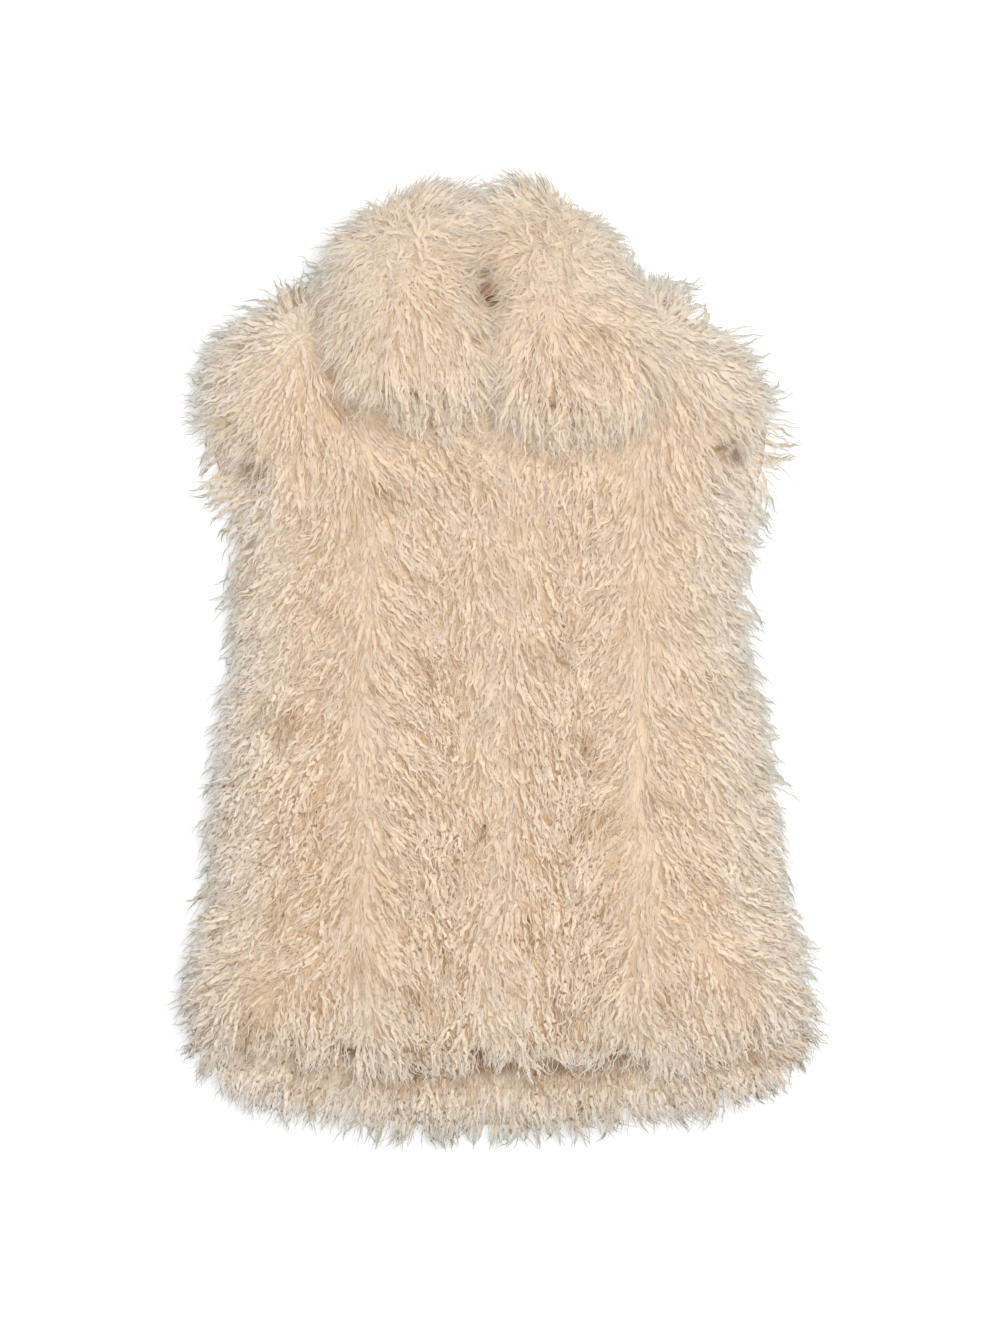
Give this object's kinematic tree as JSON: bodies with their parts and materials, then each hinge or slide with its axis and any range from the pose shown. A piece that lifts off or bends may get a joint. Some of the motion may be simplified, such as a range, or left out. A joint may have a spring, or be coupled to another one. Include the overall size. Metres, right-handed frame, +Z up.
{
  "type": "fur vest",
  "caption": "Hip-length fur vest laid flat, front up: sleeveless shaggy pelt with a fold-over collar and fronts that meet edge to edge over a longer back.",
  "frame": {"origin": "on the surface that the vest lies on, under the middle of its bounding box", "axes": "+Z up, out of the front of the vest; +Y along the vest from the hem to the collar; +X to the right as seen from above, towards the wearer's left side"},
  "size_m": [0.527, 0.7796, 0.083],
  "materials": {
    "back_fur": "matt wavy cream fur, a little greyer at the hem",
    "front_fur": "matt wavy cream fur with soft sheen at the tips",
    "collar_fur": "matt wavy cream fur, the palest and densest of the vest"
  },
  "bodies": {
    "root": {"back_panel": "back_fur", "front_right": "front_fur", "front_left": "front_fur", "collar_right": "collar_fur", "collar_left": "collar_fur"}
  },
  "joints": []
}
